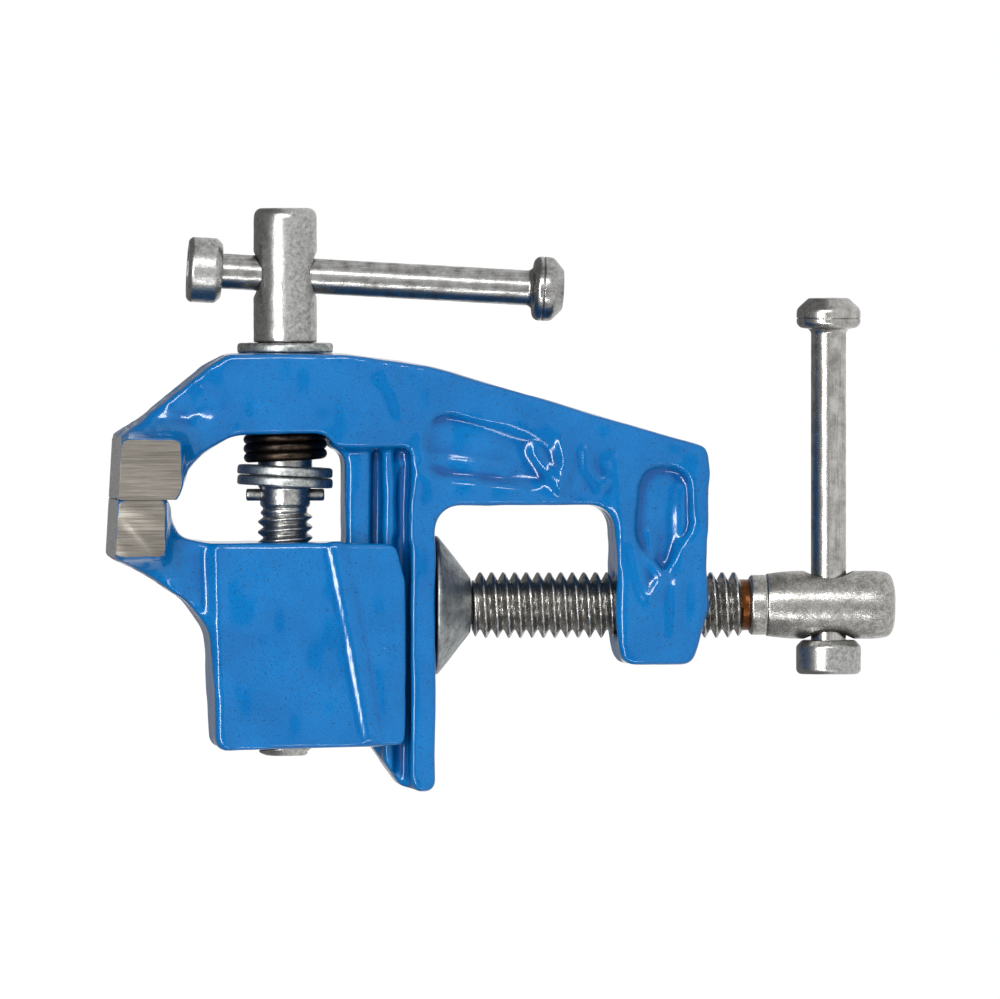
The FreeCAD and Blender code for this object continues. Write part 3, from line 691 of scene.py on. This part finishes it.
def make_frame_casting():
    piece = even_copy("frame", "frame_casting", 0.50)
    mesh = piece.data
    pairs = edge_pairs(mesh)
    points = relaxed(read_points(mesh), pairs, RELAX_FRAME)
    x, y, z = points.T / MM
    pocket = fade(y, -34, -32) * (1 - fade(y, -20, -18)) * fade(z, -27, -25) * (1 - fade(z, 3, 5))
    pocket = pocket * fade(np.abs(x), 4, 6)
    points += pocket[:, None] * (relaxed(points, pairs, RELAX_POCKET) - points)
    write_points(mesh, points)
    x, y, z = points.T / MM
    side = np.abs(x)
    on_rail = fade(y, -13, -11) * fade(z, 4.6, 5.4) * (1 - fade(z, 17, 18))
    near_bore = 1 - fade(np.hypot(x, z - AXIS_Z / MM), 9.5, 11)
    near_screw = (1 - fade(np.hypot(x, y), 7, 8.5)) * (1 - fade(z, -28, -26))
    free = (1 - on_rail) * (1 - near_bore) * (1 - near_screw)
    height = 0.22 * value_noise(points, 7 * MM, 1) + 0.12 * value_noise(points, 3.2 * MM, 2)
    for path, lift, width in FRAME_RUNS:
        height += lift * ridge(y, z, path, width) * fade(-x, 5, 8)
    height += 0.9 * np.exp(-(((y - 1.0) / 5.5) ** 2)) * fade(-z, 30, 34) * fade(side, 9, 11.5)
    height += 0.5 * ridge(y, z, [(-13, -34), (-26, -33)], 1.6) * fade(side, 10, 11.5)
    height += 0.55 * fade(z, 45, 48) * fade(y, -34, -30) + 0.15 * value_noise(points, 1.4 * MM, 3) * fade(z, 40, 44)
    write_points(mesh, points)

    def cut(made):
        grind_sides(made)
        grind_top(made)
        cut_away(made, block_cutter((-0.05, GRIP_Y, GRIP_LOW_Z), (0.05, GRIP_Y + 0.03, 0.08)))
        drill(made, (0, -0.06, AXIS_Z), (0, 1, 0), SPINDLE_BORE_R, 35)
        drill(made, (0, 0, -0.06), (0, 0, 1), CLAMP_BORE_R, 32)

    finish_casting(piece, height * free, cut)
    paint_casting(piece, GRIP_Y)
    return piece


frame_casting = make_frame_casting()
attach(frame_casting, "frame_body")
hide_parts("frame")

# %% [markdown]
# ### Moving jaw casting
# The block has one long crease of enamel down its side and another along its upper edge, where the paint sagged
# while it was wet.


# %% Moving jaw casting
def make_jaw_casting():
    face = GRIP_Y + JAW_GAP
    piece = even_copy("moving_jaw", "jaw_casting", 0.48)
    mesh = piece.data
    pairs = edge_pairs(mesh)
    points = relaxed(read_points(mesh), pairs, RELAX_JAW)
    write_points(mesh, points)
    x, y, z = points.T / MM
    side = np.abs(x)
    in_slot = (1 - fade(side, 10.6, 11.6)) * (1 - fade(z, 17.5, 18.5))
    near_bore = 1 - fade(np.hypot(x, z - AXIS_Z / MM), 6.5, 8)
    free = (1 - in_slot) * (1 - near_bore)
    height = 0.20 * value_noise(points, 8 * MM, 11) + 0.08 * value_noise(points, 3 * MM, 12)
    crease = [(-11, 18.4), (-2, 16.6), (5, 15.2), (14, 13.6), (23.5, 11.9)]
    flank = fade(-x, 12.5, 13.6)
    height += flank * (0.80 * ridge(y, z, crease, 1.0) - 0.45 * ridge(y, z, crease, 0.45))
    upper = [(-11, 39.9), (0, 39.4), (12, 38.8), (25, 38.2)]
    height += flank * 0.18 * ridge(y, z, upper, 0.8)
    height += 0.55 * fade(z, 48, 50.5) * (1 - fade(y, -9, -5))
    height += 0.12 * value_noise(points, 1.3 * MM, 13) * fade(z, 44, 48)

    def cut(made):
        grind_sides(made)
        grind_top(made)
        cut_away(made, block_cutter((-0.05, face - 0.03, GRIP_LOW_Z), (0.05, face, 0.08)))
        drill(made, (0, -0.03, AXIS_Z), (0, 1, 0), SPINDLE_BORE_R, 65)

    finish_casting(piece, height * free, cut)
    paint_casting(piece, face)
    return piece


jaw_casting = make_jaw_casting()
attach(jaw_casting, "jaw_body")
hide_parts("moving_jaw")

# %% [markdown]
# ## Screws
# Both screws are round pieces with a rolled thread, so each is a grid over distance and angle. The thread adds to
# the radius by a triangle wave of distance over pitch minus angle over a full turn, which is a right-hand helix.
# Its depth fades at both ends, as a rolled thread runs out. The heads get a hammered skin and their cross hole.


# %% Thread and skin
ROOT_FLAT = 0.10
FLANK_SHARE = 0.74


def thread_wave(s, a, pitch, start, end, depth, run=1.0):
    """Height of a thread: a clipped triangle wave of s / pitch - a / (2 pi), faded in and out over run turns. The
    shares of a pitch are flat root, then flanks, then flat crest."""
    turn = (s / pitch - a / (2 * np.pi)) % 1
    wave = np.clip((1 - np.abs(2 * turn - 1) - ROOT_FLAT) / FLANK_SHARE, 0, 1)
    ends = fade(s, start, start + run * pitch) * (1 - fade(s, end - run * pitch, end))
    return depth * wave * ends


def skin(piece, amount, cell, seed):
    """Pushes a surface in and out by smooth noise, amount and cell in mm."""
    mesh = piece.data
    points = read_points(mesh)
    lift = amount * value_noise(points, cell * MM, seed)
    lift += 0.5 * amount * value_noise(points, 0.4 * cell * MM, seed + 1)
    write_points(mesh, points + read_normals(mesh) * lift[:, None] * MM)


def flared_drill(centre, direction, radius, through, flare, depth):
    """Cutter for a cross hole whose two mouths are opened out along soft curves."""
    half = through / 2
    line = soft_profile([
        (-half - 2, 0, 0), (-half - 2, radius + flare + 1.2, 0), (-half + 0.1, radius + flare, 0.6),
        (-half + depth, radius, 0.9), (half - depth, radius, 0.9), (half - 0.1, radius + flare, 0.6),
        (half + 2, radius + flare + 1.2, 0), (half + 2, 0, 0),
    ], 0.4)
    return turned_piece("drill", line, centre, direction, sides=72)


def steel(piece, material, body, node, angle=40):
    """Gives a steel piece its finish and its body, and hides the node it stands for."""
    piece.data.materials.clear()
    piece.data.materials.append(material)
    smooth_shaded(piece, angle)
    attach(piece, body)
    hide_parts(node)
    print(piece.name, triangles(piece.data), "triangles")


# %% [markdown]
# ### Main spindle
# A round head with soft edges, a shank that turns in the arm, a short neck and the thread that pulls the jaw.

# %% Main spindle
SPINDLE_LOW, SPINDLE_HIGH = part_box("spindle")
HEAD_R = (SPINDLE_HIGH.x - SPINDLE_LOW.x) / 2 / MM
SPINDLE_LENGTH = (SPINDLE_HIGH.y - SPINDLE_LOW.y) / MM
HEAD_LENGTH = 24.4
SHANK_R = 4.95
NECK_R = 4.55
NECK_LENGTH = 3.6
SPINDLE_ROOT_R = 4.0
SPINDLE_PITCH = 1.9
BAR_FROM_END = 12.1
BAR_HOLE_R = 3.65
THREAD_FROM = 54.6


def make_spindle():
    base = (0, SPINDLE_LOW.y, AXIS_Z)
    end = SPINDLE_LENGTH
    plain = soft_profile([
        (0, 0, 0), (0, HEAD_R, 1.9), (HEAD_LENGTH, HEAD_R, 0.5), (HEAD_LENGTH, SHANK_R, 0.2),
        (THREAD_FROM - NECK_LENGTH - 0.4, SHANK_R, 0.3), (THREAD_FROM - NECK_LENGTH, NECK_R, 0.3),
        (THREAD_FROM - 0.6, NECK_R, 0.5),
        (THREAD_FROM - 0.1, SPINDLE_ROOT_R, 0.2), (THREAD_FROM, SPINDLE_ROOT_R, 0),
    ], 0.5)
    rows = np.arange(THREAD_FROM + 0.15, end - 0.6, 0.15)
    threaded = np.stack([rows, np.full(len(rows), SPINDLE_ROOT_R)], axis=1)
    tip = np.array([(end - 0.45, SPINDLE_ROOT_R), (end - 0.1, SPINDLE_ROOT_R - 0.5), (end, SPINDLE_ROOT_R - 0.9),
                    (end, 0)])
    depth = SHANK_R - SPINDLE_ROOT_R

    def change(s, a):
        return thread_wave(s, a, SPINDLE_PITCH, THREAD_FROM - 0.3, end + 0.6, depth)

    piece = turned_piece("spindle_screw", np.concatenate([plain, threaded, tip]), base, (0, 1, 0), 80, change)
    skin(piece, 0.035, 1.5, 21)
    centre = (0, SPINDLE_LOW.y + BAR_FROM_END * MM, AXIS_Z)
    cut_away(piece, flared_drill(centre, (0, 0, 1), BAR_HOLE_R, 2 * HEAD_R, 0.55, 1.5))
    return piece


steel(make_spindle(), SPINDLE_STEEL, "spindle_body", "spindle", 50)

# %% [markdown]
# ### Clamp screw
# The head is a barrel with a rounded end and a collar, then the rusty run-out groove, the coarse thread and the
# riveted nose that holds the pad.

# %% Clamp screw
CLAMP_LOW, CLAMP_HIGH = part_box("clamp_screw")
PAD_LOW, PAD_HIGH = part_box("clamp_pad")
BARREL_R = (CLAMP_HIGH.x - CLAMP_LOW.x) / 2 / MM
BARREL_LENGTH = 23.4
COLLAR_R = 5.45
COLLAR_LENGTH = 3.3
RUNOUT_R = 4.65
RUNOUT_LENGTH = 1.7
CLAMP_R = 5.975
CLAMP_ROOT_R = 4.5
CLAMP_PITCH = 2.1
NOSE_R = 3.5
RIVET_R = 5.3


def make_clamp_screw():
    base = (0, 0, CLAMP_LOW.z)
    shoulder = (PAD_LOW.z - CLAMP_LOW.z) / MM - 0.3
    collar_end = BARREL_LENGTH + COLLAR_LENGTH
    start = collar_end + RUNOUT_LENGTH
    end = (CLAMP_HIGH.z - CLAMP_LOW.z) / MM
    plain = soft_profile([
        (0, 0, 0), (0.15, BARREL_R - 2.2, 1.0), (1.0, BARREL_R - 0.35, 1.2), (3.6, BARREL_R, 1.5),
        (BARREL_LENGTH - 4.2, BARREL_R, 2.0), (BARREL_LENGTH, COLLAR_R + 0.25, 0.4),
        (BARREL_LENGTH + 0.15, COLLAR_R - 0.05, 0.1), (BARREL_LENGTH + 0.5, COLLAR_R, 0.2),
        (collar_end - 0.3, COLLAR_R, 0.5), (collar_end, RUNOUT_R, 0.2), (start, RUNOUT_R, 0),
    ], 0.5)
    rows = np.arange(start + 0.16, shoulder - 0.1, 0.16)
    threaded = np.stack([rows, np.full(len(rows), CLAMP_ROOT_R)], axis=1)
    nose = soft_profile([
        (shoulder, CLAMP_ROOT_R, 0), (shoulder, NOSE_R, 0.1), (end - 1.5, NOSE_R, 0.1), (end - 1.5, RIVET_R, 0.2),
        (end - 1.0, RIVET_R, 0.4), (end, RIVET_R - 1.8, 0.6), (end, 0, 0),
    ], 0.5)
    depth = CLAMP_R - CLAMP_ROOT_R

    def change(s, a):
        return thread_wave(s, a, CLAMP_PITCH, start - 0.6, shoulder + 0.2, depth, 0.5)

    piece = turned_piece("clamp_screw_rolled", np.concatenate([plain, threaded, nose]), base, (0, 0, 1), 84, change)
    skin(piece, 0.03, 1.8, 31)
    centre = (0, 0, CLAMP_LOW.z + BAR_FROM_END * MM)
    cut_away(piece, flared_drill(centre, (0, 1, 0), BAR_HOLE_R, 2 * BARREL_R, 0.9, 1.8))
    return piece


steel(make_clamp_screw(), CLAMP_STEEL, "clamp_screw_body", "clamp_screw", 50)

# %% [markdown]
# ## T-bars
# Both bars are the same part: a drawn rod with a knob forged on one end, parted by a fine line where the dies met,
# and a plain collar riveted on the other end. Each bar runs along its slide joint, so its direction is read from
# the joint, and its place from the collar.

# %% T-bars
ROD_R = 3.2
KNOB_R = 5.85
KNOB_LENGTH = 5.8
BAR_LENGTH = 68.5
CAP_R = 5.9
CAP_LENGTH = 6.2


def make_bar(label, start, direction, seed):
    """Rod with its forged knob: the profile runs along the bar from the riveted end."""
    knob = BAR_LENGTH - KNOB_LENGTH
    line = soft_profile([
        (0.35, 0, 0), (0.35, ROD_R - 0.6, 0.2), (0.8, ROD_R, 0.3), (knob - 0.5, ROD_R, 0.4),
        (knob + 0.05, ROD_R + 0.5, 0.2), (knob + 0.3, KNOB_R - 0.7, 0.4), (knob + 1.0, KNOB_R - 0.05, 0.5),
        (knob + 1.85, KNOB_R, 0.1), (knob + 2.0, KNOB_R - 0.22, 0.05), (knob + 2.15, KNOB_R, 0.1),
        (knob + 3.7, KNOB_R - 0.02, 0.7), (BAR_LENGTH - 0.1, 3.6, 0.3), (BAR_LENGTH, 0, 0),
    ], 0.5)
    piece = turned_piece(label, line, start, direction, 72)
    skin(piece, 0.02, 2.0, seed)
    return piece


def make_cap(label, start, direction, seed):
    """Chamfered collar round the rod: the profile is a closed loop in distance and radius."""
    bore = ROD_R + 0.05
    outside = soft_profile([
        (0, bore, 0), (0, CAP_R - 0.6, 0.3), (0.6, CAP_R, 0.4), (CAP_LENGTH - 1.1, CAP_R, 0.4),
        (CAP_LENGTH, CAP_R - 1.1, 0.3), (CAP_LENGTH, bore, 0),
    ], 0.4)
    piece = turned_piece(label, outside, start, direction, 72, closed=True)
    skin(piece, 0.025, 2.2, seed)
    return piece


def middle(node):
    low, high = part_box(node)
    return np.array((low + high) / 2)


SPINDLE_BAR_WAY = -np.array(JOINTS["spindle_bar_slide"]["axis"], float)
SPINDLE_BAR_START = middle("spindle_bar_cap") - SPINDLE_BAR_WAY * CAP_LENGTH / 2 * MM
CLAMP_BAR_WAY = -np.array(JOINTS["clamp_bar_slide"]["axis"], float)
CLAMP_BAR_START = middle("clamp_bar_cap") - CLAMP_BAR_WAY * CAP_LENGTH / 2 * MM

steel(make_bar("spindle_rod", SPINDLE_BAR_START, SPINDLE_BAR_WAY, 41), ROD_STEEL_Z_PAINTED_DARKER, "spindle_bar_body", "spindle_bar",
      30)
steel(make_cap("spindle_rod_cap", SPINDLE_BAR_START, SPINDLE_BAR_WAY, 43), SPINDLE_STEEL, "spindle_bar_body",
      "spindle_bar_cap", 30)
steel(make_bar("clamp_rod", CLAMP_BAR_START, CLAMP_BAR_WAY, 45), ROD_STEEL_Y_PAINTED_LIGHTER, "clamp_bar_body", "clamp_bar",
      30)
steel(make_cap("clamp_rod_cap", CLAMP_BAR_START, CLAMP_BAR_WAY, 47), SPINDLE_STEEL, "clamp_bar_body", "clamp_bar_cap",
      30)

# %% [markdown]
# ## Washers, pin, spring and pad
# The washers are stamped, so one rim is rounder than the other. The two inside the arm lean on the cross pin. The
# spring is one open coil of round wire, black with oil. The pad is a hollow pressed cone with a thin rim.


# %% Washers
WASHER_R = 8.7
WASHER_HOLE_R = 5.45
WASHER_THICKNESS = 1.8
WASHER_LEAN = math.radians(2.7)


def make_washer(label, centre, direction, seed):
    """Ring whose section is a rounded rectangle in distance and radius."""
    half = WASHER_THICKNESS / 2
    loop = soft_profile([
        (0, WASHER_HOLE_R, 0), (-half, WASHER_HOLE_R, 0.2), (-half, WASHER_R, 0.75), (half, WASHER_R, 0.45),
        (half, WASHER_HOLE_R, 0.2), (0.01, WASHER_HOLE_R, 0),
    ], 0.4)
    piece = turned_piece(label, loop, centre, direction, 96, closed=True)
    skin(piece, 0.04, 1.4, seed)
    return piece


LEANING = (0, math.cos(WASHER_LEAN), math.sin(WASHER_LEAN))
steel(make_washer("thrust_washer", middle("outer_washer"), (0, 1, 0), 51), DULL_ZINC, "spindle_body", "outer_washer",
      50)
steel(make_washer("spring_washer_upper", middle("inner_washer_upper"), LEANING, 53), DULL_ZINC, "spindle_body",
      "inner_washer_upper", 50)
steel(make_washer("spring_washer_lower", middle("inner_washer_lower"), LEANING, 55), DULL_ZINC, "spindle_body",
      "inner_washer_lower", 50)


# %% Pin
def make_pin():
    low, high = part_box("cross_pin")
    radius = (high.x - low.x) / 2 / MM
    length = (high.z - low.z) / MM
    line = soft_profile([(0, 0, 0), (0, radius, 0.4), (length, radius, 0.4), (length, 0, 0)], 0.5)
    base = ((low.x + high.x) / 2, (low.y + high.y) / 2, low.z)
    return turned_piece("through_pin", line, base, (0, 0, 1), 32)


steel(make_pin(), SPINDLE_STEEL, "spindle_body", "cross_pin")

# %% Spring
SPRING_TURNS = 2.75
WIRE_R = 0.95


def make_spring():
    """Tube along a helix: the centre line is (R cos t, rise t, R sin t), and its two ends are closed to a point."""
    low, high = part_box("spring")
    radius = (high.x - low.x) / 2 / MM - WIRE_R
    base = np.array([0, low.y + WIRE_R * MM, AXIS_Z])
    rise = (high.y - low.y) / MM - 2 * WIRE_R
    share = np.linspace(0, 1, 260)
    angle = 2 * np.pi * SPRING_TURNS * share
    out = np.stack([np.cos(angle), 0 * angle, -np.sin(angle)], axis=1)
    centre = out * radius + np.stack([0 * share, rise * share, 0 * share], axis=1)
    around = np.linspace(0, 2 * np.pi, 24, endpoint=False)
    taper = np.sqrt(np.clip(np.minimum(share, 1 - share) / 0.004, 0, 1))[:, None, None]
    section = np.cos(around)[None, :, None] * out[:, None, :] + np.sin(around)[None, :, None] * np.array([0, 1.0, 0])
    points = base + MM * (centre[:, None, :] + WIRE_R * taper * section)
    piece = grid_piece("coil_spring", points)
    skin(piece, 0.02, 1.2, 57)
    return piece


steel(make_spring(), SPRING_STEEL, "frame_body", "spring", 60)


# %% Pad
PAD_BORE_R = 3.7
PAD_NECK_R = 4.9
PAD_HOLLOW_R = 6.2
PAD_FLOOR = 2.8


def make_pad():
    """Hollow cone: a closed loop from the bore, down the outside of the cone to the rim, and back up the inside."""
    height = (PAD_HIGH.z - PAD_LOW.z) / MM
    rim = (PAD_HIGH.x - PAD_LOW.x) / 2 / MM
    loop = soft_profile([
        (0.4, PAD_BORE_R, 0), (0, PAD_BORE_R, 0.1), (0, PAD_NECK_R, 0.5), (height - 0.75, rim - 0.25, 0.3),
        (height - 0.35, rim, 0.25), (height, rim - 0.1, 0.1), (height, rim - 2.9, 0.3),
        (height - 2.0, PAD_HOLLOW_R, 0.3), (PAD_FLOOR, PAD_HOLLOW_R, 0.2), (PAD_FLOOR, PAD_BORE_R, 0.1),
        (0.5, PAD_BORE_R, 0),
    ], 0.5)
    piece = turned_piece("swivel_pad", loop, (0, 0, PAD_LOW.z), (0, 0, 1), 120, closed=True)
    skin(piece, 0.04, 3.5, 59)
    return piece


steel(make_pad(), PAD_ZINC, "pad_body", "clamp_pad", 40)

# %% [markdown]
# ## Floor and light
# The floor runs far past the vise and fills the picture behind it. It glows evenly in white, as a lit table does,
# so it throws no shadow and lights the vise from below. Long narrow lamps give the enamel its thin white glints and
# the round bars their bright bands.


# %% Floor and light
FLOOR_REACH = 60.0
FLOOR_DROP = 30 * MM  # leaves room for the clamp screw, which goes down by 23 mm


def make_floor():
    drop = cad_low[2] - FLOOR_DROP
    mesh = bpy.data.meshes.new("floor")
    corners = [(x * FLOOR_REACH, y * FLOOR_REACH, drop) for x, y in ((-1, -1), (1, -1), (1, 1), (-1, 1))]
    mesh.from_pydata(corners, [], [(0, 1, 2, 3)])
    floor = link("floor", mesh)
    f = Finish("glowing_floor")
    f.set(Base_Color=(0, 0, 0, 1), Roughness=1.0, Emission_Color=(1, 1, 1, 1), Emission_Strength=1.02)
    f.shader.inputs["Specular IOR Level"].default_value = 0.0
    mesh.materials.append(f.material)


def soft_light(name, place, wide, high, radiance):
    """Rectangular lamp that faces the middle of the vise. Its power is pi * area * radiance."""
    data = bpy.data.lights.new(name, "AREA")
    data.shape = "RECTANGLE"
    data.size = wide
    data.size_y = high
    data.energy = math.pi * wide * high * radiance
    lamp = bpy.data.objects.new(name, data)
    bpy.context.scene.collection.objects.link(lamp)
    place = Vector(place)
    turn = (LOOK_AT - place).to_track_quat("-Z", "Y").to_matrix().to_4x4()
    lamp.matrix_world = Matrix.Translation(place) @ turn


make_floor()
soft_light("lamp_above", (-1.3, 0.0, 0.75), 1.3, 0.12, 44)
soft_light("lamp_front", (-1.3, -0.75, 0.1), 0.12, 1.0, 38)
soft_light("lamp_back", (-1.2, 0.95, 0.15), 0.12, 0.8, 20)
world = bpy.data.worlds.new("world")
world.use_nodes = True
backdrop = world.node_tree.nodes["Background"]
backdrop.inputs["Color"].default_value = (1, 1, 1, 1)
backdrop.inputs["Strength"].default_value = 0.24
bpy.context.scene.world = world
bpy.context.scene.view_settings.view_transform = "Standard"
print("stage ready")
